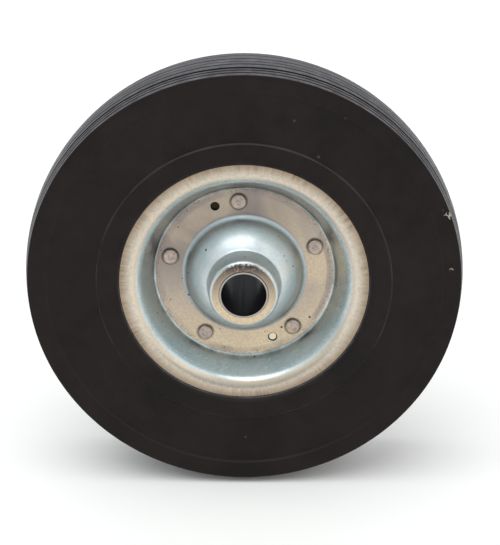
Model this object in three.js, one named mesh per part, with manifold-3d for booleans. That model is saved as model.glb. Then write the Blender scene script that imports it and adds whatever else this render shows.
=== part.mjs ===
// Gate wheel: a solid rubber tyre clamped between two identical pressed-steel discs.
// Units are millimetres. The origin is the wheel's centre, the wheel spins about Y,
// the front faces -Y and +Z is up.
import * as THREE from 'three';
import { mergeVertices } from 'three/addons/utils/BufferGeometryUtils.js';
import Module from 'manifold-3d';

const wasm = await Module();
wasm.setup();

// Overall sizes
const WHEEL_RADIUS = 100;
const TYRE_HALF_WIDTH = 22.5;
const FIT_GAP = 0.3; // clearance between pieces that touch

// Pressed disc, given by the surface that is seen from outside: radius and height above mid-plane
const SHEET = 2.2;
const WEB_FACE = SHEET + FIT_GAP / 2;
const FLANGE_RADIUS = 56.3;
const FLANGE_FACE = 17.2;
const FLANGE_INNER_RADIUS = 48.7;
const FLANGE_INNER_FACE = 16.7;
const FLANGE_BEND = 8.5;
const WEB_OUTER_RADIUS = 41.6;
const WEB_OUTER_BEND = 1.8;
const DOME_RADIUS = 27.3;
const DOME_FOOT_BEND = 3.6;
const DOME_SHOULDER = new THREE.Vector2(23.6, 12.5);
const DOME_SHOULDER_BEND = 22;
const NECK_BASE_RADIUS = 16.6;
const NECK_BASE_FACE = 17.0;
const NECK_BEND = 1.4;
const LIP_RADIUS = 15.5;
const LIP_FACE = 28.6;
const LIP_BEND = 2.5;

// Hub
const BORE_RADIUS = 10;
const LINER_WALL = 1.0;
const LINER_HALF_LENGTH = 29;
const LINER_CHAMFER = 0.35;
const LINER_RADIUS = BORE_RADIUS + LINER_WALL;
const LIP_HOLE_RADIUS = LINER_RADIUS + FIT_GAP;
const HUB_TUBE_RADIUS = LIP_RADIUS - SHEET - FIT_GAP;
const HUB_TUBE_HALF_LENGTH = LIP_FACE - SHEET - FIT_GAP;

// Rivets and the locating button that each disc pushes into a hole of its twin
const RIVET_COUNT = 5;
const RIVET_CIRCLE_RADIUS = 35;
const RIVET_PHASE = THREE.MathUtils.degToRad(22.3);
const RIVET_PITCH = (2 * Math.PI) / RIVET_COUNT;
const SHANK_RADIUS = 2.5;
const HEAD_RADIUS = 3.65;
const HEAD_HEIGHT = 2.0;
const HEAD_ROUNDING = 0.9;
const SET_HEAD_RADIUS = 4.0;
const SET_HEAD_HEIGHT = 1.5;
const SET_HEAD_ROUNDING = 0.7;
const BUTTON_RADIUS = 1.85;
const BUTTON_DEPTH = 1.7;
const BUTTON_RECESS_RADIUS = 2.05;
const BUTTON_ANGLE = RIVET_PHASE + 1.25 * RIVET_PITCH;

// Tyre section: radius and height above mid-plane
const CROWN_DROP = 3.1;
const GROOVE_HEIGHT = 15.2;
const GROOVE_WIDTH = 1.6;
const GROOVE_DEPTH = 1.3;
const CROWN_STEPS = 4;
const EDGE_ROUNDING = 0.6;
const SEAT_RADIUS = 45;
const PAD_FACE = 19.7;
const PAD_INNER_RADIUS = 58.0;
const PAD_OUTER_RADIUS = 66.0;
const PAD_LIP_FACE = 18.4;
const LAP_RADIUS = FLANGE_RADIUS + 2 * FIT_GAP; // rubber that laps the flange's edge
const PANEL_INNER = new THREE.Vector2(66.8, 18.9);
const PANEL_OUTER = new THREE.Vector2(88.2, 20.4);
const BAND_INNER = new THREE.Vector2(89.3, 21.6);
const BAND_OUTER = new THREE.Vector2(95.4, TYRE_HALF_WIDTH);

// Facets
const TYRE_SEGMENTS = 60;
const DISC_SEGMENTS = 40;
const HUB_SEGMENTS = 24;
const RIVET_SEGMENTS = 12;
const BEND_STEPS = 2;
const FLANGE_STEPS = 3; // in the flange's wide bend
const DOME_STEPS = 4; // in the dome's wide bend

const point = (radius, height) => new THREE.Vector2(radius, height);

function material(color, roughness, metalness) {
  return new THREE.MeshStandardMaterial({ color, roughness, metalness });
}

// A geometry with only positions, its shared vertices merged.
function welded(geometry) {
  const plain = geometry.index ? geometry.toNonIndexed() : geometry;
  plain.deleteAttribute('normal');
  plain.deleteAttribute('uv');
  return mergeVertices(plain, 1e-4);
}

// Spins a section, given as radius and height along Y, round the Y axis.
// A section off the axis is closed first; the outline is put anticlockwise so that faces point out.
function revolve(section, segments) {
  const outline = THREE.ShapeUtils.area(section) < 0 ? [...section].reverse() : [...section];
  const touchesAxis = section.some((p) => p.x === 0);
  if (!touchesAxis) outline.push(outline[0].clone());
  const lathe = new THREE.LatheGeometry(outline, segments);
  return welded(lathe);
}

// Replaces the corner at "corner" by an arc of "radius" that is tangent to both sides.
function bend(before, corner, after, radius, steps = BEND_STEPS) {
  const toBefore = before.clone().sub(corner).normalize();
  const toAfter = after.clone().sub(corner).normalize();
  const halfAngle = Math.acos(toBefore.dot(toAfter)) / 2;
  const bisector = toBefore.clone().add(toAfter).normalize();
  const centre = corner.clone().addScaledVector(bisector, radius / Math.sin(halfAngle));
  const tangent = radius / Math.tan(halfAngle);
  const start = corner.clone().addScaledVector(toBefore, tangent).sub(centre);
  const end = corner.clone().addScaledVector(toAfter, tangent).sub(centre);
  const sweep = Math.atan2(start.cross(end), start.dot(end));
  const arc = [];
  for (let i = 0; i <= steps; i += 1) {
    arc.push(start.clone().rotateAround(point(0, 0), (sweep * i) / steps).add(centre));
  }
  return arc;
}

// The line beside "path" at "distance" to the left of its direction, with mitred corners.
function beside(path, distance) {
  return path.map((p, i) => {
    const before = path[Math.max(i - 1, 0)];
    const after = path[Math.min(i + 1, path.length - 1)];
    const arriving = p.clone().sub(before);
    const leaving = after.clone().sub(p);
    if (arriving.length() === 0) arriving.copy(leaving);
    if (leaving.length() === 0) leaving.copy(arriving);
    arriving.normalize();
    leaving.normalize();
    const normal = point(-arriving.y - leaving.y, arriving.x + leaving.x).normalize();
    const mitre = -normal.x * arriving.y + normal.y * arriving.x;
    return p.clone().addScaledVector(normal, distance / mitre);
  });
}

// The outside of the flange and the wall, from the flange's edge down to the web.
function flangeLine() {
  const edge = point(FLANGE_RADIUS, FLANGE_FACE);
  const corner = point(FLANGE_INNER_RADIUS, FLANGE_INNER_FACE);
  const foot = point(WEB_OUTER_RADIUS, WEB_FACE);
  return [edge, ...bend(edge, corner, foot, FLANGE_BEND, FLANGE_STEPS), foot];
}

// The whole outside line of a disc, from the flange's edge to the hole in its lip.
function discLine() {
  const flange = flangeLine();
  const foot = flange.pop();
  const domeFoot = point(DOME_RADIUS, WEB_FACE);
  const neckBase = point(NECK_BASE_RADIUS, NECK_BASE_FACE);
  const neckTop = point(LIP_RADIUS, LIP_FACE);
  const lipEdge = point(LIP_HOLE_RADIUS, LIP_FACE);
  return [
    ...flange,
    ...bend(flange[flange.length - 1], foot, domeFoot, WEB_OUTER_BEND),
    ...bend(foot, domeFoot, DOME_SHOULDER, DOME_FOOT_BEND),
    ...bend(domeFoot, DOME_SHOULDER, neckBase, DOME_SHOULDER_BEND, DOME_STEPS),
    ...bend(DOME_SHOULDER, neckBase, neckTop, NECK_BEND),
    ...bend(neckBase, neckTop, lipEdge, LIP_BEND),
    lipEdge,
  ];
}

function mirrored(line) {
  return line.map((p) => point(p.x, -p.y)).reverse();
}

// Sections are drawn with the front at negative Y, so heights are turned to -Y for the front disc.
function discSection() {
  const outside = discLine();
  const inside = beside(outside, SHEET);
  return [...outside, ...inside.reverse()].map((p) => point(p.x, -p.y));
}

function crownRadius(height) {
  return WHEEL_RADIUS - CROWN_DROP * (height / TYRE_HALF_WIDTH) ** 2;
}

// The tread from the mid-plane to the shoulder, with its groove.
function treadLine() {
  const inner = GROOVE_HEIGHT - GROOVE_WIDTH / 2;
  const outer = GROOVE_HEIGHT + GROOVE_WIDTH / 2;
  const floor = crownRadius(GROOVE_HEIGHT) - GROOVE_DEPTH;
  const line = [];
  for (let i = 1; i <= CROWN_STEPS; i += 1) {
    const height = (inner * i) / CROWN_STEPS;
    line.push(point(crownRadius(height), height));
  }
  line.push(point(floor, inner + GROOVE_WIDTH / 4));
  line.push(point(floor, outer - GROOVE_WIDTH / 4));
  line.push(point(crownRadius(outer), outer));
  return line;
}

// The sidewall from the tread's edge in to the lip that laps the steel flange.
function sidewallLine() {
  const edgeHeight = TYRE_HALF_WIDTH - EDGE_ROUNDING;
  return [
    point(crownRadius(edgeHeight), edgeHeight),
    BAND_OUTER,
    BAND_INNER,
    PANEL_OUTER,
    PANEL_INNER,
    point(PAD_OUTER_RADIUS, PAD_FACE),
    point(PAD_INNER_RADIUS, PAD_FACE),
    point(LAP_RADIUS, PAD_LIP_FACE),
  ];
}

// The tyre's seat runs FIT_GAP behind the steel, down to a flat at SEAT_RADIUS.
function seatLine() {
  const behind = beside(flangeLine(), SHEET + FIT_GAP);
  const lapped = point(LAP_RADIUS, behind[0].y);
  const wallTop = behind[behind.length - 2];
  const wallFoot = behind[behind.length - 1];
  const share = (SEAT_RADIUS - wallFoot.x) / (wallTop.x - wallFoot.x);
  const seatEdge = wallFoot.clone().lerp(wallTop, share);
  return [lapped, ...behind.slice(1, -1), seatEdge];
}

function tyreSection() {
  const half = [...treadLine(), ...sidewallLine(), ...seatLine()];
  return [point(WHEEL_RADIUS, 0), ...half, ...mirrored(half)];
}

function toManifold(geometry) {
  const vertProperties = new Float32Array(geometry.attributes.position.array);
  const triVerts = new Uint32Array(geometry.index.array);
  return new wasm.Manifold(new wasm.Mesh({ numProp: 3, vertProperties, triVerts }));
}

function fromManifold(solid) {
  const mesh = solid.getMesh();
  const geometry = new THREE.BufferGeometry();
  geometry.setAttribute('position', new THREE.BufferAttribute(mesh.vertProperties, 3));
  geometry.setIndex(new THREE.BufferAttribute(mesh.triVerts, 1));
  return geometry;
}

// A round bar along Y, centred at an angle on the rivet circle, between two heights.
function bar(radius, angle, from, to) {
  const cylinder = new THREE.CylinderGeometry(radius, radius, to - from, RIVET_SEGMENTS);
  const x = RIVET_CIRCLE_RADIUS * Math.cos(angle);
  const z = RIVET_CIRCLE_RADIUS * Math.sin(angle);
  cylinder.translate(x, (from + to) / 2, z);
  return toManifold(welded(cylinder));
}

// One pressed disc, front at -Y: rivet holes, a hole for its twin's button, and its own button.
function discGeometry() {
  const matingFace = -FIT_GAP / 2;
  let disc = toManifold(revolve(discSection(), DISC_SEGMENTS));
  for (let i = 0; i < RIVET_COUNT; i += 1) {
    const angle = RIVET_PHASE + i * RIVET_PITCH;
    disc = disc.subtract(bar(SHANK_RADIUS + FIT_GAP, angle, -2 * SHEET, SHEET));
  }
  const twinAngle = BUTTON_ANGLE + Math.PI;
  disc = disc.subtract(bar(BUTTON_RADIUS + FIT_GAP, twinAngle, -2 * SHEET, SHEET));
  const recessFloor = -WEB_FACE + BUTTON_DEPTH;
  disc = disc.subtract(bar(BUTTON_RECESS_RADIUS, BUTTON_ANGLE, -2 * SHEET, recessFloor));
  const buttonRoot = (recessFloor + matingFace) / 2;
  disc = disc.add(bar(BUTTON_RADIUS, BUTTON_ANGLE, buttonRoot, matingFace + BUTTON_DEPTH));
  return fromManifold(disc);
}

// Half of a rivet's section: a button head with rounded rim, from the axis to the shank.
function headLine(radius, height, rounding) {
  const base = WEB_FACE + FIT_GAP;
  const top = base + height;
  const corner = point(radius, top);
  return [
    point(0, top),
    ...bend(point(0, top), corner, point(radius, base), rounding),
    point(radius, base),
    point(SHANK_RADIUS, base),
  ];
}

function rivetGeometry() {
  const front = headLine(HEAD_RADIUS, HEAD_HEIGHT, HEAD_ROUNDING);
  const rear = headLine(SET_HEAD_RADIUS, SET_HEAD_HEIGHT, SET_HEAD_ROUNDING);
  const section = [...front.map((p) => point(p.x, -p.y)), ...rear.reverse()];
  return revolve(section, RIVET_SEGMENTS);
}

function tubeGeometry(inner, outer, halfLength, chamfer) {
  const section = [
    point(inner, 0),
    point(inner, halfLength - chamfer),
    point(inner + chamfer, halfLength),
    point(outer - chamfer, halfLength),
    point(outer, halfLength - chamfer),
  ];
  return revolve([...section, ...mirrored(section.slice(1))], HUB_SEGMENTS);
}

function addPiece(parent, name, geometry, finish) {
  geometry.computeVertexNormals();
  const mesh = new THREE.Mesh(geometry, finish);
  mesh.name = name;
  parent.add(mesh);
  return mesh;
}

function buildWheel() {
  const rubber = material(0x25201e, 0.82, 0);
  const zinc = material(0xb9bcb6, 0.34, 1);
  const rivetSteel = material(0xb8a892, 0.42, 1);
  const darkSteel = material(0x2a2422, 0.3, 0.9);
  const wheel = new THREE.Group();

  addPiece(wheel, 'tyre', revolve(tyreSection(), TYRE_SEGMENTS), rubber);
  addPiece(wheel, 'rim_half_front', discGeometry(), zinc);

  // The rear disc is the same pressing turned over about the axis square to its button.
  const turned = new THREE.Group();
  turned.quaternion.setFromAxisAngle(
    new THREE.Vector3(-Math.sin(BUTTON_ANGLE), 0, Math.cos(BUTTON_ANGLE)),
    Math.PI,
  );
  wheel.add(turned);
  addPiece(turned, 'rim_half_rear', discGeometry(), zinc);

  const hubTube = tubeGeometry(LIP_HOLE_RADIUS, HUB_TUBE_RADIUS, HUB_TUBE_HALF_LENGTH, LINER_CHAMFER);
  addPiece(wheel, 'hub_tube', hubTube, zinc);
  const liner = tubeGeometry(BORE_RADIUS, LINER_RADIUS, LINER_HALF_LENGTH, LINER_CHAMFER);
  addPiece(wheel, 'bore_liner', liner, darkSteel);

  const rivet = rivetGeometry();
  for (let i = 0; i < RIVET_COUNT; i += 1) {
    const angle = RIVET_PHASE + i * RIVET_PITCH;
    const mesh = addPiece(wheel, `rivet_${i + 1}`, rivet, rivetSteel);
    mesh.position.set(Math.cos(angle), 0, Math.sin(angle)).multiplyScalar(RIVET_CIRCLE_RADIUS);
  }
  return wheel;
}

const group = buildWheel();

export default group;
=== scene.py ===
"""Gate wheel: the visual model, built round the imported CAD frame.

Lengths are in metres, except that sections, and names that end in _MM, are in millimetres.
The wheel spins about Y and its front faces -Y. Sections are lists of (radius, height), where
height is the distance from the wheel's mid-plane.
"""
import math

import bmesh
import bpy
from mathutils import Matrix, Vector, noise


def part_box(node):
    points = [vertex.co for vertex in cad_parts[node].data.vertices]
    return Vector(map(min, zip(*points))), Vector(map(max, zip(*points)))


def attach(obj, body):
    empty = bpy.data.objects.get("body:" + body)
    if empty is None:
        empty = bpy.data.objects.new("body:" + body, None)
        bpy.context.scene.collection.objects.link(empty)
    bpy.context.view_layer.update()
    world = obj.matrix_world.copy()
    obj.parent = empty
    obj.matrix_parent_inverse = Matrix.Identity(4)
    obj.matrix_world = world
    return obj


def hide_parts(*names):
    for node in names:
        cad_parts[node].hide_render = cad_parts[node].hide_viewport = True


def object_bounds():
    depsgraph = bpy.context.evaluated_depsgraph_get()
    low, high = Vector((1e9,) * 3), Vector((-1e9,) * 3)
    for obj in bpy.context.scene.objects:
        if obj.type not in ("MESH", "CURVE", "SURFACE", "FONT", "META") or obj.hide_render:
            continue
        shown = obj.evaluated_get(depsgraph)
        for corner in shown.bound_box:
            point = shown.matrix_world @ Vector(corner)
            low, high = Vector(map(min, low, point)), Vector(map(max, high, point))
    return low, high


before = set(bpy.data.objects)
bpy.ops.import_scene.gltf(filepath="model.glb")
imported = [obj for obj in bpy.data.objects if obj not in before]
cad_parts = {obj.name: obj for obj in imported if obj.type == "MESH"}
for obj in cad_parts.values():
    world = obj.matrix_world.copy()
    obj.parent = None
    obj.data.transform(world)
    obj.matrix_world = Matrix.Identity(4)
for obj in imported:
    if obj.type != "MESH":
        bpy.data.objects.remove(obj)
CAD_LOW, CAD_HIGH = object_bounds()

MM = 0.001
BODY = "root"

# Taken from the frame
WHEEL_RADIUS_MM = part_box("tyre")[1].z / MM
TYRE_HALF_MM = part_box("tyre")[1].y / MM
LIP_FACE_MM = -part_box("rim_half_front")[0].y / MM
LINER_HALF_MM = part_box("bore_liner")[1].y / MM
LINER_RADIUS_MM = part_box("bore_liner")[1].z / MM
HUB_TUBE_HALF_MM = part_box("hub_tube")[1].y / MM
HUB_TUBE_RADIUS_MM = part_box("hub_tube")[1].z / MM
RIVET_NODES = sorted(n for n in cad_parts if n.startswith("rivet_"))
RIVET_CENTRES = [(low + high) / 2 for low, high in map(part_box, RIVET_NODES)]
RIVET_CIRCLE_MM = Vector((RIVET_CENTRES[0].x, RIVET_CENTRES[0].z)).length / MM
ANGLES = [math.atan2(centre.z, centre.x) for centre in RIVET_CENTRES]
# The button sits a quarter pitch past the second rivet.
BUTTON_ANGLE = ANGLES[1] + 2 * math.pi / len(ANGLES) / 4

# The pressed disc, drawn along the surface that is seen from outside
SHEET_MM = 2.2
WEB_FACE_MM = 2.35
FLANGE_RADIUS_MM = 56.3
FLANGE_FACE_MM = 17.2
FLANGE_INNER_RADIUS_MM = 48.7
FLANGE_INNER_FACE_MM = 16.7
FLANGE_BEND_MM = 8.5
WEB_OUTER_RADIUS_MM = 41.6
WEB_OUTER_BEND_MM = 1.8
DOME_RADIUS_MM = 27.3
DOME_FOOT_BEND_MM = 3.6
# Where the dome's steep side meets its slope, before the wide bend between them
DOME_SHOULDER_MM = (23.6, 12.5)
DOME_SHOULDER_BEND_MM = 22.0
NECK_BASE_RADIUS_MM = 16.6
NECK_BASE_FACE_MM = 17.0
NECK_BEND_MM = 1.4
LIP_RADIUS_MM = 15.5
LIP_BEND_MM = 2.5
LIP_HOLE_RADIUS_MM = LINER_RADIUS_MM + 0.12

# The tyre's section
CROWN_DROP_MM = 3.1
# Where the tread's rounded edge starts, and how finely the tread is divided
TREAD_EDGE_MM = TYRE_HALF_MM - 1.1
TREAD_STEP_MM = 0.14
# Grooves round the tread: height, width and depth
MAIN_GROOVE_MM = (15.2, 1.5, 1.3)
FINE_GROOVES_MM = (
    (20.0, 0.7, 0.4),
    (17.6, 0.8, 0.6),
    (11.0, 0.8, 0.4),
    (7.4, 0.6, 0.25),
    (3.2, 0.8, 0.4),
)
PAD_FACE_MM = 19.7
SEAT_RADIUS_MM = 45.0
LAP_RADIUS_MM = FLANGE_RADIUS_MM + 0.25
# The sidewall from its outer corner to where it laps the flange: radius, height and bend
SIDEWALL_MM = (
    (95.0, TYRE_HALF_MM - 0.05, 3.0),
    (89.4, 21.75, 0.9),
    (88.3, 20.75, 0.9),
    (66.75, 18.9, 0.2),
    (66.1, PAD_FACE_MM, 0.25),
    (58.3, PAD_FACE_MM, 1.0),
    (LAP_RADIUS_MM, 18.2, 0.35),
    (LAP_RADIUS_MM, 15.0, 0),
)
# A lighter line round the foot of the sidewall's inner step: a painted highlight where the step
# catches the light
HIGHLIGHT_LINE_MM = 66.4
# The moulded surface's unevenness: broad swells, fine ones, and how far it is sunk to suit
SWELL_MM = 0.10
FINE_SWELL_MM = 0.04
SINK_MM = 0.14

# The tubes in the hub: the bore, the chamfer of their ends, and the gap between them
BORE_RADIUS_MM = 10.0
TUBE_CHAMFER_MM = 0.3
TUBE_GAP_MM = 0.15

# Rivets and the locating button
HEAD_RADIUS_MM = 3.65
HEAD_HEIGHT_MM = 2.25
SET_HEAD_RADIUS_MM = 4.0
SET_HEAD_HEIGHT_MM = 1.75
SHANK_RADIUS_MM = 2.5
BUTTON_RADIUS_MM = 1.85
BUTTON_HOLE_MM = 2.15
BUTTON_RECESS_MM = 2.05
BUTTON_DEPTH_MM = 1.7
BUTTON_EDGE_MM = 0.22
RECESS_FLOOR_MM = WEB_FACE_MM - BUTTON_DEPTH_MM
# Half the gap between the two discs' webs
MATING_FACE_MM = 0.15
# A rivet's heads start this far off the web
HEAD_GAP_MM = 0.02
# How far round a rivet the sheet is pulled in, and how deep
PULL_REACH_MM = 6.5
PULL_DEPTH_MM = 0.14

# Pale cuts in the tyre: the angle round the front, the radius, and how far they reach
NICKS = ((21.5, 95.6, 2.2), (24.0, 93.5, 1.5), (6.0, 92.6, 1.1))

TYRE_SEGMENTS = 360
DISC_SEGMENTS = 240
HUB_SEGMENTS = 128
RIVET_SEGMENTS = 48
TYRE_STEP_MM = 1.2
DISC_STEP_MM = 0.9


# ---------------------------------------------------------------- sections

def rounded(corners, step=0.5):
    """Points along a line of corners (radius, height, bend radius), with arcs at the bends."""
    line = [Vector(corners[0][:2])]
    for before, here, after in zip(corners, corners[1:], corners[2:]):
        corner, bend = Vector(here[:2]), here[2]
        to_before = (Vector(before[:2]) - corner).normalized()
        to_after = (Vector(after[:2]) - corner).normalized()
        half = math.acos(max(-1.0, min(1.0, to_before.dot(to_after)))) / 2
        if bend <= 0 or half > math.pi / 2 - 1e-3:
            line.append(corner)
            continue
        centre = corner + (to_before + to_after).normalized() * (bend / math.sin(half))
        start = corner + to_before * (bend / math.tan(half)) - centre
        end = corner + to_after * (bend / math.tan(half)) - centre
        sweep = math.atan2(start.x * end.y - start.y * end.x, start.dot(end))
        count = max(3, math.ceil(abs(sweep) * bend / step), math.ceil(abs(sweep) / 0.26))
        for i in range(count + 1):
            turn = Matrix.Rotation(sweep * i / count, 2)
            line.append(centre + turn @ start)
    line.append(Vector(corners[-1][:2]))
    return line


def divided(line, step):
    """The same line with points no further apart than step."""
    points = [line[0]]
    for a, b in zip(line, line[1:]):
        count = max(1, math.ceil((b - a).length / step))
        points += [a.lerp(b, i / count) for i in range(1, count + 1)]
    return points


def beside(line, distance):
    """The line at a distance to the left of another."""
    moved = []
    for i, here in enumerate(line):
        arriving = here - line[max(i - 1, 0)]
        leaving = line[min(i + 1, len(line) - 1)] - here
        if arriving.length < 1e-9:
            arriving = leaving
        if leaving.length < 1e-9:
            leaving = arriving
        arriving, leaving = arriving.normalized(), leaving.normalized()
        normal = Vector((-arriving.y - leaving.y, arriving.x + leaving.x)).normalized()
        mitre = normal.y * arriving.x - normal.x * arriving.y
        moved.append(here + normal * (distance / mitre))
    return moved


# ---------------------------------------------------------------- mesh building

def mesh_object(name, bm):
    mesh = bpy.data.meshes.new(name)
    bm.normal_update()
    bm.to_mesh(mesh)
    bm.free()
    obj = bpy.data.objects.new(name, mesh)
    bpy.context.scene.collection.objects.link(obj)
    return obj


def smooth(obj, angle=35):
    """Smooth shading, broken where faces meet more sharply than the angle."""
    bm = bmesh.new()
    bm.from_mesh(obj.data)
    limit = math.radians(angle)
    for face in bm.faces:
        face.smooth = True
    for edge in bm.edges:
        edge.smooth = edge.calc_face_angle(0.0) < limit
    bm.to_mesh(obj.data)
    bm.free()


def revolve(name, section, segments):
    """A closed section in millimetres, spun round the Y axis, with heights towards -Y."""
    points = [Vector((p.x, p.y)) for p in section]
    area = sum(a.x * b.y - b.x * a.y for a, b in zip(points, points[1:] + points[:1]))
    if area > 0:
        points.reverse()
    bm = bmesh.new()
    rings = []
    for i in range(segments):
        angle = 2 * math.pi * i / segments
        cos, sin = math.cos(angle) * MM, math.sin(angle) * MM
        rings.append([bm.verts.new((p.x * cos, -p.y * MM, p.x * sin)) for p in points])
    for i, ring in enumerate(rings):
        after = rings[(i + 1) % segments]
        for j in range(len(points)):
            k = (j + 1) % len(points)
            if points[j].x < 1e-6 and points[k].x < 1e-6:
                continue
            bm.faces.new((ring[j], ring[k], after[k], after[j]))
    bmesh.ops.remove_doubles(bm, verts=bm.verts, dist=1e-8)
    bmesh.ops.recalc_face_normals(bm, faces=bm.faces)
    return mesh_object(name, bm)


def nudge(obj, move):
    """Moves each vertex by what move(position, normal) returns."""
    bm = bmesh.new()
    bm.from_mesh(obj.data)
    bm.normal_update()
    for vert, shift in [(v, move(v.co, v.normal)) for v in bm.verts]:
        vert.co += shift
    bm.to_mesh(obj.data)
    bm.free()


def boolean(obj, other, operation):
    modifier = obj.modifiers.new("cut", "BOOLEAN")
    modifier.operation = operation
    modifier.solver = "EXACT"
    modifier.object = other
    graph = bpy.context.evaluated_depsgraph_get()
    made = bpy.data.meshes.new_from_object(obj.evaluated_get(graph))
    obj.modifiers.remove(modifier)
    old = obj.data
    obj.data = made
    bpy.data.meshes.remove(old)
    bpy.data.objects.remove(other)


# ---------------------------------------------------------------- pieces

def crown(height):
    return WHEEL_RADIUS_MM - CROWN_DROP_MM * (height / TYRE_HALF_MM) ** 2


def groove(height, centre, width, depth):
    """How deep a round-bottomed groove is at this height."""
    across = abs(abs(height) - centre) / (width / 2)
    return depth * (1 - across ** 4) if across < 1 else 0.0


def tread_line():
    """The tread from the mid-plane to the start of its rounded edge."""
    count = round(TREAD_EDGE_MM / TREAD_STEP_MM)
    line = []
    for i in range(count + 1):
        height = TREAD_EDGE_MM * i / count
        cut = max(groove(height, *g) for g in (MAIN_GROOVE_MM, *FINE_GROOVES_MM))
        line.append(Vector((crown(height) - cut, height)))
    return line


def flange_corners():
    return [
        (FLANGE_RADIUS_MM, FLANGE_FACE_MM, 0),
        (FLANGE_INNER_RADIUS_MM, FLANGE_INNER_FACE_MM, FLANGE_BEND_MM),
        (WEB_OUTER_RADIUS_MM, WEB_FACE_MM, 0),
    ]


def make_tyre():
    side = rounded([
        (crown(TREAD_EDGE_MM), TREAD_EDGE_MM, 0),
        (crown(TYRE_HALF_MM - 0.2), TYRE_HALF_MM - 0.1, 0.7),
        *SIDEWALL_MM,
    ], 0.3)
    behind = beside(rounded(flange_corners()), SHEET_MM + 0.1)
    wall_top, wall_foot = behind[-2], behind[-1]
    share = (SEAT_RADIUS_MM - wall_foot.x) / (wall_top.x - wall_foot.x)
    seat = [p for p in behind[1:-1] if p.x < LAP_RADIUS_MM - 0.5]
    seat.append(wall_foot.lerp(wall_top, share))
    half = divided(tread_line() + side[1:] + seat, TYRE_STEP_MM)
    section = half + [Vector((p.x, -p.y)) for p in reversed(half[1:])]
    tyre = revolve("tyre_rubber", section, TYRE_SEGMENTS)

    def wear(co, normal):
        """A mould's slight unevenness, kept inwards so that the tyre stays within its true size."""
        swell = noise.noise(co * 28) * SWELL_MM + noise.noise(co * 110) * FINE_SWELL_MM
        depth = SINK_MM - swell
        return normal * (-depth * MM * 0.5)

    nudge(tyre, wear)
    smooth(tyre)
    return tyre


def disc_line():
    return rounded([
        *flange_corners()[:2],
        (WEB_OUTER_RADIUS_MM, WEB_FACE_MM, WEB_OUTER_BEND_MM),
        (DOME_RADIUS_MM, WEB_FACE_MM, DOME_FOOT_BEND_MM),
        (*DOME_SHOULDER_MM, DOME_SHOULDER_BEND_MM),
        (NECK_BASE_RADIUS_MM, NECK_BASE_FACE_MM, NECK_BEND_MM),
        (LIP_RADIUS_MM, LIP_FACE_MM, LIP_BEND_MM),
        (LIP_HOLE_RADIUS_MM, LIP_FACE_MM, 0),
    ], 0.4)


def spot(angle, height_mm=0.0):
    """The point on the rivet circle at this angle, height_mm towards the front."""
    across, up = RIVET_CIRCLE_MM * math.cos(angle), RIVET_CIRCLE_MM * math.sin(angle)
    return Vector((across, -height_mm, up)) * MM


def bar(name, angle, section):
    piece = revolve(name, [Vector(p) for p in section], RIVET_SEGMENTS)
    piece.data.transform(Matrix.Translation(spot(angle)))
    return piece


def mouth(radius):
    """The start of a hole's section: above the web, then in over the hole's rounded edge."""
    wide = radius + BUTTON_EDGE_MM
    return [
        (0, WEB_FACE_MM + 1),
        (wide, WEB_FACE_MM + 1),
        (wide, WEB_FACE_MM + 0.01),
        (radius, WEB_FACE_MM - BUTTON_EDGE_MM),
    ]


def button_section():
    """The button that one disc pushes into its twin, rooted inside the disc's own sheet."""
    root = (RECESS_FLOOR_MM + MATING_FACE_MM) / 2
    tip = MATING_FACE_MM - BUTTON_DEPTH_MM
    return [
        (0, root),
        (BUTTON_RADIUS_MM, root),
        (BUTTON_RADIUS_MM, tip + 0.2),
        (BUTTON_RADIUS_MM - 0.2, tip),
        (0, tip),
    ]


def make_disc(name, button_angle):
    outside = divided(disc_line(), DISC_STEP_MM)
    inside = beside(outside, SHEET_MM)
    section = [*outside, *reversed(inside)]
    disc = revolve(name, section, DISC_SEGMENTS)
    recess = mouth(BUTTON_RECESS_MM)
    recess += [(BUTTON_RECESS_MM - 0.15, RECESS_FLOOR_MM), (0, RECESS_FLOOR_MM)]
    hole = mouth(BUTTON_HOLE_MM) + [(BUTTON_HOLE_MM, -1), (0, -1)]
    boolean(disc, bar("recess", button_angle, recess), "DIFFERENCE")
    boolean(disc, bar("hole", button_angle + math.pi, hole), "DIFFERENCE")
    boolean(disc, bar("button", button_angle, button_section()), "UNION")
    centres = [spot(a) for a in ANGLES]

    def press(co, normal):
        """Pressing leaves the sheet slightly uneven, and the rivets pull it in round their heads."""
        uneven = normal * (noise.noise(co * 45) * 0.05 * MM)
        uneven.y = 0.0
        if co.y > -WEB_FACE_MM * MM * 1.2 and 30 * MM < math.hypot(co.x, co.z) < 40 * MM:
            away = min(math.hypot(co.x - c.x, co.z - c.z) for c in centres) / MM
            if away < PULL_REACH_MM:
                uneven.y += PULL_DEPTH_MM * MM * (1 - (away / PULL_REACH_MM) ** 2) ** 2
        return uneven

    nudge(disc, press)
    smooth(disc, 28)
    return disc


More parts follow.
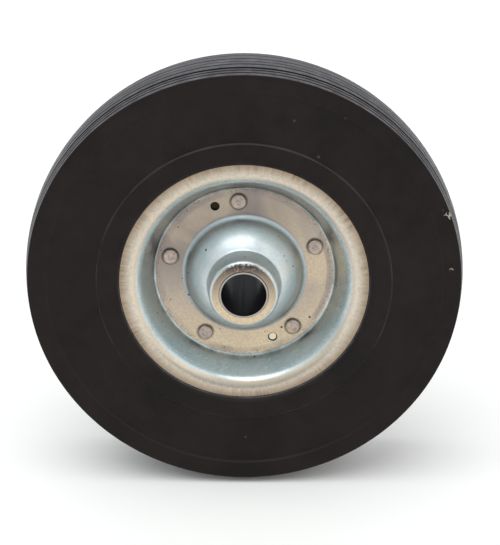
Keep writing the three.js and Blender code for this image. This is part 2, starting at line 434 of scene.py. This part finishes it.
def make_rivet(node, number):
    """A round-headed rivet with a small centre pip, closed by a flatter head at the rear."""
    low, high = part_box(node)
    centre = (low + high) / 2
    head = WEB_FACE_MM + HEAD_HEIGHT_MM
    set_head = WEB_FACE_MM + SET_HEAD_HEIGHT_MM
    foot = WEB_FACE_MM + HEAD_GAP_MM
    front = rounded([
        (0, head, 0),
        (0.75, head, 0.3),
        (1.15, head - 0.35, 0.3),
        (HEAD_RADIUS_MM - 0.25, head - 0.6, 1.0),
        (HEAD_RADIUS_MM, foot, 0),
        (SHANK_RADIUS_MM, foot, 0),
    ], 0.15)
    rear = rounded([
        (0, -set_head, 0),
        (SET_HEAD_RADIUS_MM - 0.4, -(set_head - 0.35), 0.7),
        (SET_HEAD_RADIUS_MM, -foot, 0),
        (SHANK_RADIUS_MM, -foot, 0),
    ], 0.15)
    rivet = revolve(node + "_head", [*front, *reversed(rear)], RIVET_SEGMENTS)
    seed = Vector((number * 3.1, number * 1.7, number * 5.3))

    def hammer(co, normal):
        """Dents on the heads, fading out towards the web so that the shank stays true."""
        above_web = abs(co.y) / MM - WEB_FACE_MM
        dent = noise.noise(co * 420 + seed) * 0.16 + noise.noise(co * 900 + seed) * 0.06
        return normal * (dent * MM * min(max(above_web, 0.0), 1.0))

    nudge(rivet, hammer)
    rivet.data.transform(Matrix.Translation((centre.x, 0, centre.z)))
    smooth(rivet, 40)
    return rivet


def make_tube(name, inner, outer, half, chamfer):
    end = rounded([
        (inner, 0, 0), (inner, half, chamfer), (outer, half, chamfer), (outer, 0, 0),
    ], 0.1)
    end = divided(end, 4.0)
    section = end + [Vector((p.x, -p.y)) for p in reversed(end[1:-1])]
    tube = revolve(name, section, HUB_SEGMENTS)
    smooth(tube)
    return tube


# ---------------------------------------------------------------- materials

class Nodes:
    """A short way to write a material's node tree. Lengths in it are in millimetres."""

    def __init__(self, name):
        self.material = bpy.data.materials.new(name)
        self.material.use_nodes = True
        self.tree = self.material.node_tree
        self.shader = self.tree.nodes["Principled BSDF"]
        self.place = self.add("TexCoord", output="Object")
        self.normal = self.add("TexCoord", output="Normal")
        split = self.add("SeparateXYZ", {0: self.place}).node
        self.x, self.y, self.z = (self.math("MULTIPLY", out, 1 / MM) for out in split.outputs)
        flat = self.add("CombineXYZ", {"X": self.x, "Z": self.z})
        self.radius = self.add("VectorMath", {0: flat}, output="Value", operation="LENGTH")
        self.outward = self.add("VectorMath", {0: flat}, operation="NORMALIZE")
        self.height = self.math("ABSOLUTE", self.y)
        self.facing = self.math("ABSOLUTE", self.add("SeparateXYZ", {0: self.normal}, output="Y"))

    def add(self, kind, inputs=None, output=0, **settings):
        node = self.tree.nodes.new("ShaderNode" + kind)
        for key, value in settings.items():
            setattr(node, key, value)
        for key, value in (inputs or {}).items():
            self.put(node.inputs[key], value)
        return node.outputs[output]

    def put(self, socket, value):
        if isinstance(value, bpy.types.NodeSocket):
            self.tree.links.new(value, socket)
        else:
            socket.default_value = value

    def math(self, operation, a, b=0.0):
        return self.add("Math", {0: a, 1: b}, operation=operation)

    def product(self, first, *others):
        for other in others:
            first = self.math("MULTIPLY", first, other)
        return first

    def noise(self, scale, detail=4.0, rough=0.55, coords=None, distort=0.0):
        """Noise with this many waves to a metre, or to a unit of the coordinates given."""
        inputs = {"Scale": scale, "Detail": detail, "Roughness": rough, "Distortion": distort}
        inputs["Vector"] = coords or self.place
        return self.add("TexNoise", inputs)

    def ramp(self, value, low, high, out_low=0.0, out_high=1.0):
        """A smooth step from out_low to out_high as value goes from low to high."""
        inputs = {0: value, 1: low, 2: high, 3: out_low, 4: out_high}
        return self.add("MapRange", inputs, interpolation_type="SMOOTHSTEP")

    def band(self, value, centre, half, soft):
        """1 within half of the centre, fading to 0 over soft."""
        away = self.math("ABSOLUTE", self.math("SUBTRACT", value, centre))
        return self.ramp(away, half, half + soft, 1.0, 0.0)

    def distance(self, a, b):
        """The length of a flat vector with sides a and b."""
        vector = self.add("CombineXYZ", {"X": a, "Y": b})
        return self.add("VectorMath", {0: vector}, output="Value", operation="LENGTH")

    def towards(self, degrees):
        """How far outwards a place lies in this direction round the wheel, from -1 to 1."""
        turn = math.radians(degrees)
        direction = (math.cos(turn), 0.0, math.sin(turn))
        inputs = {0: self.outward, 1: direction}
        return self.add("VectorMath", inputs, output="Value", operation="DOT_PRODUCT")

    def spots(self, per_metre, size, share):
        """Round spots of a size between 0 and 0.5, in this share of the cells."""
        inputs = {"Vector": self.place, "Scale": per_metre}
        cells = self.add("TexVoronoi", inputs).node
        picked = self.add("SeparateXYZ", {0: cells.outputs["Color"]})
        chosen = self.ramp(picked, share, share + 0.02, 1.0, 0.0)
        return self.product(self.ramp(cells.outputs["Distance"], size * 0.6, size, 1.0, 0.0), chosen)

    def mix(self, share, a, b):
        node = self.tree.nodes.new("ShaderNodeMix")
        node.data_type = "RGBA"
        for socket, value in zip((node.inputs[0], node.inputs[6], node.inputs[7]), (share, a, b)):
            self.put(socket, value)
        return node.outputs[2]

    def mix_number(self, share, a, b):
        """A number that goes from a to b as share goes from 0 to 1."""
        return self.add("MapRange", {0: share, 3: a, 4: b})

    def bump(self, height, strength, distance):
        return self.add("Bump", {"Height": height, "Strength": strength, "Distance": distance})

    def finish(self, metallic=0.0, specular=0.5, **sockets):
        self.shader.inputs["Metallic"].default_value = metallic
        self.shader.inputs["Specular IOR Level"].default_value = specular
        for key, value in sockets.items():
            self.put(self.shader.inputs[key.replace("_", " ")], value)
        return self.material


def rgb(red, green, blue):
    return (red, green, blue, 1.0)


def rubber_material():
    """Black moulded rubber: brownish sidewalls, a greyer scuffed tread lightened further by painted
    light from above, a painted highlight line on the sidewall's step, a few pale nicks.
    """
    n = Nodes("moulded_rubber")
    tread = n.ramp(n.facing, 0.8, 0.4)
    mottled = n.noise(38, 5, 0.6)
    dusty = n.noise(170, 6, 0.7)
    side = n.mix(n.ramp(mottled, 0.35, 0.65), rgb(0.0062, 0.0038, 0.0031), rgb(0.0108, 0.0066, 0.0055))
    # The tread is greyer all round: dust and scuffing, lightened further as painted light from above.
    worn_and_lit_tread = n.mix(n.ramp(dusty, 0.35, 0.7), rgb(0.05, 0.047, 0.051), rgb(0.13, 0.124, 0.132))
    colour = n.mix(tread, side, worn_and_lit_tread)
    # A lighter line is painted all round the step's foot: a painted highlight.
    edge = n.product(n.band(n.radius, HIGHLIGHT_LINE_MM, 0.35, 0.2), n.ramp(mottled, 0.4, 0.65), 0.4)
    colour = n.mix(edge, colour, rgb(0.05, 0.048, 0.046))
    specks = n.spots(95, 0.09, 0.1)
    colour = n.mix(n.product(specks, 0.35), colour, rgb(0.12, 0.11, 0.1))
    nicks = nick_mask(n)
    colour = n.mix(nicks, colour, rgb(0.42, 0.36, 0.3))
    grain = n.noise(1500, 3, 0.6)
    pores = n.ramp(n.noise(620, 2, 0.5), 0.62, 0.72)
    relief = n.math("SUBTRACT", grain, n.product(pores, 0.8))
    roughness = n.ramp(dusty, 0.3, 0.7, 0.42, 0.62)
    normal = n.bump(relief, 0.3, 0.00012)
    # The outer corners and steps are rubbed shinier than the dusty flats.
    rubbed = n.product(n.ramp(n.facing, 0.96, 0.8), n.ramp(n.radius, 64.0, 66.0))
    roughness = n.math("SUBTRACT", roughness, n.product(rubbed, 0.14))
    return n.finish(specular=0.18, Base_Color=colour, Roughness=roughness, Normal=normal)


def nick_mask(n):
    """Pale cuts near the tyre's front edge: a network of thin cracks inside soft patches."""
    cracks = n.add("TexVoronoi", {"Vector": n.place, "Scale": 260}, feature="DISTANCE_TO_EDGE")
    lines = n.ramp(cracks, 0.02, 0.07, 1.0, 0.0)
    patches = None
    for degrees, radius, reach in NICKS:
        turn = math.radians(degrees)
        across = n.math("SUBTRACT", n.x, radius * math.cos(turn))
        up = n.math("SUBTRACT", n.z, radius * math.sin(turn))
        patch = n.ramp(n.distance(across, up), reach * 0.5, reach, 1.0, 0.0)
        patches = patch if patches is None else n.math("MAXIMUM", patches, patch)
    return n.product(lines, patches, n.ramp(n.y, -10.0, -15.0))


def zinc_colour(n):
    """Zinc with tarnish, yellow on its flats and blue on its steep faces; this split by slope is
    partly the plating's own colour and partly a painted reflection.
    """
    cloud = n.noise(42, 4, 0.6, distort=0.6)
    hue = n.noise(26, 3, 0.5, distort=1.0)
    spokes = n.noise(34, 3, 0.6, coords=n.outward)
    cool = n.mix(n.ramp(cloud, 0.35, 0.65), rgb(0.54, 0.62, 0.64), rgb(0.67, 0.71, 0.7))
    warm = n.mix(n.ramp(hue, 0.36, 0.62), rgb(0.6, 0.49, 0.35), rgb(0.47, 0.39, 0.32))
    straw = rgb(0.72, 0.58, 0.39)
    warm = n.mix(n.product(n.ramp(n.z, -5.0, -38.0), 0.7), warm, straw)
    # The yellow reaches further down the flange's wide bend than up the dome, partly as bloom and
    # partly as a painted reflection.
    on_flange = n.ramp(n.radius, 43.0, 45.0)
    steep = n.mix_number(on_flange, 0.9, 0.72)
    flat = n.mix_number(on_flange, 0.99, 0.9)
    base = n.mix(n.ramp(n.facing, steep, flat), cool, warm)
    # A violet-grey band is painted all round where the web's and dome's bends reach one slope: a
    # painted reflection.
    bend = n.product(n.band(n.facing, 0.955, 0.01, 0.03), n.ramp(n.radius, 45.0, 43.0), 0.5)
    base = n.mix(bend, base, rgb(0.4, 0.34, 0.38))
    # The flange is painted brown at its outer edge and cream towards its bend, all round: a painted
    # reflection.
    flange_painted_sheen = n.add("MapRange", {0: n.radius, 1: 56.0, 2: 49.5})
    flange = n.mix(flange_painted_sheen, rgb(0.34, 0.255, 0.175), rgb(0.8, 0.73, 0.62))
    base = n.mix(n.product(n.ramp(n.radius, 46.0, 47.5), n.ramp(n.facing, 0.82, 0.96)), base, flange)
    # The bend at the foot of the dome is painted bluer and darker, all round: painted shade that dims
    # the bright reflection there.
    foot = n.product(n.band(n.radius, 28.2, 1.0, 1.4), n.ramp(n.facing, 0.99, 0.93), 0.45)
    base = n.mix(foot, base, rgb(0.3, 0.36, 0.38))
    streaks = n.product(n.ramp(n.radius, 51.5, 55.8), n.ramp(spokes, 0.4, 0.62))
    streaks = n.product(streaks, n.ramp(cloud, 0.42, 0.62, 0.15, 0.75))
    base = n.mix(streaks, base, rgb(0.2, 0.14, 0.085))
    # The web is painted darker just inside its outer bend, in patches: a painted dark reflection.
    painted_dark_ring = n.product(n.band(n.radius, 39.2, 0.6, 1.1), n.ramp(cloud, 0.4, 0.6, 0.15, 0.55))
    base = n.mix(painted_dark_ring, base, rgb(0.2, 0.17, 0.17))
    tarnish = n.product(n.ramp(n.towards(112), -0.1, 0.8), n.band(n.radius, 34.5, 6.0, 2.0))
    tarnish = n.product(tarnish, n.ramp(hue, 0.25, 0.6, 0.45, 1.0), n.ramp(n.facing, 0.9, 0.99))
    # The ring round the bore is straw at the bottom and brown at the top.
    hub_face = n.product(n.ramp(n.height, 27.9, 28.4), n.ramp(n.facing, 0.9, 0.98))
    ring = n.mix(n.ramp(n.z, -9.0, 10.0), rgb(0.72, 0.57, 0.37), rgb(0.26, 0.2, 0.15))
    base = n.mix(hub_face, base, ring)
    return n.mix(n.product(tarnish, 0.8), base, rgb(0.19, 0.16, 0.16))


def zinc_dirt_and_shade(n):
    """Where the zinc is darker: grime on the hub face and in pits, and painted shade, mixed with
    grime, in the web's outer corner and round the rivets.
    """
    fine = n.noise(900, 4, 0.75)
    patchy = n.noise(70, 4, 0.65)
    # A patchy band is painted darker in the web's outer corner, all round: painted shade in the
    # corner.
    corner = n.band(n.radius, WEB_OUTER_RADIUS_MM, 0.6, 1.2)
    corner = n.product(corner, n.ramp(patchy, 0.4, 0.62))
    stipple = n.product(n.band(n.radius, 40.3, 0.5, 0.6), n.ramp(fine, 0.5, 0.62), 0.5)
    on_hub = n.product(n.ramp(n.height, 27.6, 28.3), n.ramp(n.z, 7.0, 14.5))
    on_hub = n.product(on_hub, n.ramp(fine, 0.36, 0.52))
    pits = n.math("MAXIMUM", n.spots(230, 0.16, 0.09), n.spots(520, 0.2, 0.05))
    pits = n.product(pits, n.ramp(n.radius, 48.0, 44.0))
    dirt_and_shade = n.math("MAXIMUM", n.product(corner, 0.4), stipple)
    dirt_and_shade = n.math("MAXIMUM", dirt_and_shade, n.product(on_hub, 0.85))
    # Rings are painted darker round the rivet heads: painted contact shadow mixed with grime.
    dirt_and_shade = n.math("MAXIMUM", dirt_and_shade, n.product(rivet_rings(n), n.ramp(patchy, 0.25, 0.6, 0.15, 0.6)))
    return n.math("MAXIMUM", dirt_and_shade, n.product(pits, 0.9))


def rivet_rings(n):
    """A thin ring round every rivet head, found by folding all the rivets onto one."""
    angle = n.math("ARCTAN2", n.z, n.x)
    pitch = 2 * math.pi / len(ANGLES)
    away = n.math("SUBTRACT", angle, ANGLES[0])
    inputs = {0: away, 1: pitch / 2, 2: -pitch / 2}
    folded = n.add("Math", inputs, operation="WRAP")
    along = n.product(folded, RIVET_CIRCLE_MM)
    distance = n.distance(along, n.math("SUBTRACT", n.radius, RIVET_CIRCLE_MM))
    return n.product(n.band(distance, HEAD_RADIUS_MM + 0.1, 0.1, 0.8), n.ramp(n.height, 4.0, 3.0))


def button_masks(n):
    """The bottom of a disc's own recess, and the tip of its twin's button, on either side."""
    cos, sin = math.cos(BUTTON_ANGLE), math.sin(BUTTON_ANGLE)
    along = n.math("ADD", n.product(n.x, cos), n.product(n.z, sin))
    along = n.product(along, n.math("SIGN", n.y))
    across = n.math("SUBTRACT", n.product(n.z, cos), n.product(n.x, sin))
    low = n.ramp(n.height, WEB_FACE_MM - 0.1, WEB_FACE_MM - 0.5)
    recess = n.distance(n.math("ADD", along, RIVET_CIRCLE_MM), across)
    tip = n.distance(n.math("SUBTRACT", along, RIVET_CIRCLE_MM), across)
    recess = n.product(n.ramp(recess, BUTTON_RECESS_MM + 0.1, BUTTON_RECESS_MM, 0.0, 1.0), low)
    tip = n.ramp(tip, BUTTON_RADIUS_MM, BUTTON_RADIUS_MM - 0.2, 0.0, 1.0)
    return recess, n.product(tip, n.ramp(n.height, WEB_FACE_MM, WEB_FACE_MM - 0.4))


def zinc_material():
    n = Nodes("zinc_plate")
    fine = n.noise(800, 5, 0.7)
    rings = n.noise(0.9, 3, 0.6, coords=n.add("CombineXYZ", {"X": n.radius, "Y": n.height}))
    turned = n.ramp(n.radius, 28.0, 25.0)
    recess, tip = button_masks(n)
    base = zinc_colour(n)
    grain = n.product(n.ramp(fine, 0.38, 0.66), n.ramp(n.facing, 0.85, 0.98, 0.15, 0.36))
    base = n.mix(grain, base, rgb(0.28, 0.26, 0.24))
    base = n.mix(n.product(n.ramp(rings, 0.5, 0.7), turned, 0.3), base, rgb(0.72, 0.74, 0.74))
    base = n.mix(tip, base, rgb(0.78, 0.66, 0.46))
    # Grime and painted shade darken the zinc.
    dirt_and_shade = zinc_dirt_and_shade(n)
    base = n.mix(dirt_and_shade, base, rgb(0.035, 0.027, 0.022))
    # The recess floor is painted near black: painted shade in the deep recess, with some grime.
    base = n.mix(recess, base, rgb(0.028, 0.02, 0.01))
    roughness = n.math("ADD", n.ramp(n.radius, 30.0, 44.0, 0.36, 0.25), n.product(fine, 0.06))
    roughness = n.math("MAXIMUM", roughness, n.product(dirt_and_shade, 0.6))
    relief = n.math("ADD", n.product(rings, turned, 0.6), fine)
    relief = n.math("SUBTRACT", relief, n.product(dirt_and_shade, 1.2))
    normal = n.bump(relief, 0.09, 0.00008)
    return n.finish(metallic=1.0, Base_Color=base, Roughness=roughness, Normal=normal)


def rivet_material():
    """Zinc rubbed to a pinkish tint on the struck heads; their sides are darker, partly grime and
    partly painted shade.
    """
    n = Nodes("rivet_zinc")
    patchy = n.noise(260, 4, 0.6, distort=0.4)
    fine = n.noise(1100, 4, 0.7)
    top = n.mix(n.ramp(patchy, 0.35, 0.62), rgb(0.52, 0.41, 0.33), rgb(0.42, 0.35, 0.32))
    # The sides are painted darker than the heads: painted shade round the head's edge, with grime.
    side = n.mix(n.ramp(fine, 0.35, 0.65), rgb(0.2, 0.175, 0.16), rgb(0.46, 0.44, 0.42))
    base = n.mix(n.ramp(n.facing, 0.35, 0.85), side, top)
    base = n.mix(n.product(n.ramp(fine, 0.52, 0.66), 0.45), base, rgb(0.16, 0.12, 0.1))
    roughness = n.ramp(patchy, 0.3, 0.7, 0.34, 0.48)
    normal = n.bump(fine, 0.3, 0.0001)
    return n.finish(metallic=1.0, Base_Color=base, Roughness=roughness, Normal=normal)


def liner_material():
    """Thin drawn steel, brighter on its cut end; inside the bore it is painted near black, a painted
    shade.
    """
    n = Nodes("drawn_steel_shaded_bore")
    stretched = n.add("Mapping", {"Vector": n.place, "Scale": (1.0, 0.03, 1.0)})
    streak = n.noise(420, 4, 0.6, coords=stretched)
    # The bore's inside is painted near black: painted shade.
    dark = n.mix(n.ramp(streak, 0.35, 0.65), rgb(0.004, 0.003, 0.003), rgb(0.009, 0.008, 0.013))
    base = n.mix(n.ramp(n.facing, 0.6, 0.95), dark, rgb(0.4, 0.36, 0.32))
    roughness = n.ramp(streak, 0.3, 0.7, 0.26, 0.4)
    normal = n.bump(streak, 0.15, 0.00004)
    return n.finish(specular=0.07, Base_Color=base, Roughness=roughness, Normal=normal)


def floor_material():
    n = Nodes("pale_floor")
    speck = n.noise(6, 3, 0.5)
    colour = n.mix(speck, rgb(0.95, 0.93, 0.9), rgb(0.97, 0.95, 0.92))
    return n.finish(Base_Color=colour, Roughness=0.8)


# ---------------------------------------------------------------- stage

CAMERA_AZIMUTH = 0.42
CAMERA_ELEVATION = 21.8
CAMERA_DISTANCE = 0.557
CENTRE_RIGHT = -0.00256
CENTRE_DOWN = -0.0006
SENSOR_MM = 36.0
LENS_MM = 79.3
# The studio's light from around: its colour, and its strength at the horizon and overhead
STUDIO_COLOUR = (0.93, 0.97, 1.0)
AT_HORIZON = 0.4
OVERHEAD = 0.8
FLOOR_HALF_WIDTH = 20
# Lights: degrees round from the front and up, how wide and how strong each one is, its colour
LIGHTS = {
    "key": (-30.0, 72.0, 54.0, 1.3, (0.95, 0.98, 1.0)),
    "left_fill": (-64.0, 24.0, 70.0, 0.3, (0.88, 0.95, 1.0)),
    "right_fill": (60.0, 22.0, 70.0, 0.6, (1.0, 0.98, 0.94)),
}


def seen_from(azimuth, elevation):
    """The direction from the wheel to a viewer this many degrees round from the front and up."""
    turn, rise = math.radians(azimuth), math.radians(elevation)
    return Vector((math.sin(turn) * math.cos(rise), -math.cos(turn) * math.cos(rise), math.sin(rise)))


def link(obj, towards):
    """Puts a camera or light in the scene, its back to the direction towards."""
    obj.rotation_mode = "QUATERNION"
    obj.rotation_quaternion = towards.to_track_quat("Z", "Y")
    bpy.context.scene.collection.objects.link(obj)


def make_camera():
    back = seen_from(CAMERA_AZIMUTH, CAMERA_ELEVATION)
    right = Vector((0, 0, 1)).cross(back).normalized()
    up = back.cross(right)
    data = bpy.data.cameras.new("camera")
    data.sensor_width = SENSOR_MM
    data.lens = LENS_MM
    data.clip_start = 0.01
    camera = bpy.data.objects.new("camera", data)
    camera.location = back * CAMERA_DISTANCE - right * CENTRE_RIGHT + up * CENTRE_DOWN
    link(camera, back)
    bpy.context.scene.camera = camera


def make_lights():
    for name, (azimuth, elevation, spread, strength, colour) in LIGHTS.items():
        data = bpy.data.lights.new(name, "SUN")
        data.energy = strength
        data.angle = math.radians(spread)
        data.color = colour
        link(bpy.data.objects.new(name, data), seen_from(azimuth, elevation))


def make_world():
    """A soft studio: brighter overhead, darker towards the horizon."""
    world = bpy.data.worlds.new("studio")
    world.use_nodes = True
    tree = world.node_tree
    coords = tree.nodes.new("ShaderNodeTexCoord")
    split = tree.nodes.new("ShaderNodeSeparateXYZ")
    ramp = tree.nodes.new("ShaderNodeMapRange")
    background = tree.nodes["Background"]
    tree.links.new(coords.outputs["Generated"], split.inputs[0])
    tree.links.new(split.outputs["Z"], ramp.inputs[0])
    tree.links.new(ramp.outputs[0], background.inputs["Strength"])
    for socket, value in zip(ramp.inputs[1:5], (0.0, 0.5, AT_HORIZON, OVERHEAD)):
        socket.default_value = value
    background.inputs["Color"].default_value = rgb(*STUDIO_COLOUR)
    bpy.context.scene.world = world


def make_floor():
    bm = bmesh.new()
    bmesh.ops.create_grid(bm, x_segments=8, y_segments=8, size=FLOOR_HALF_WIDTH)
    floor = mesh_object("floor", bm)
    floor.location.z = CAD_LOW.z
    floor.data.materials.append(floor_material())


# ---------------------------------------------------------------- assembly

def settle(piece, material, slot, *nodes):
    piece.data.materials.clear()
    piece.data.materials.append(material)
    for polygon in piece.data.polygons:
        polygon.material_index = 0
    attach(piece, BODY)
    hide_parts(*nodes)


make_camera()
make_lights()
make_world()
make_floor()
bpy.context.scene.view_settings.view_transform = "Standard"

zinc = zinc_material()
rivet_zinc = rivet_material()

settle(make_tyre(), rubber_material(), "tyre_rubber", "tyre")

front = make_disc("disc_front", BUTTON_ANGLE)
rear = bpy.data.objects.new("disc_rear", front.data.copy())
bpy.context.scene.collection.objects.link(rear)
turn_axis = Vector((-math.sin(BUTTON_ANGLE), 0, math.cos(BUTTON_ANGLE)))
rear.data.transform(Matrix.Rotation(math.pi, 4, turn_axis))
settle(front, zinc, "zinc_plate", "rim_half_front")
settle(rear, zinc, "zinc_plate", "rim_half_rear")

tube_inner = LINER_RADIUS_MM + TUBE_GAP_MM
tube = make_tube(
    "hub_spacer_tube", tube_inner, HUB_TUBE_RADIUS_MM, HUB_TUBE_HALF_MM, TUBE_CHAMFER_MM)
settle(tube, zinc, "zinc_plate", "hub_tube")
liner = make_tube(
    "bore_liner_tube", BORE_RADIUS_MM, LINER_RADIUS_MM, LINER_HALF_MM, TUBE_CHAMFER_MM)
settle(liner, liner_material(), "liner_steel", "bore_liner")

for number, node in enumerate(RIVET_NODES):
    settle(make_rivet(node, number), rivet_zinc, "rivet_zinc", node)
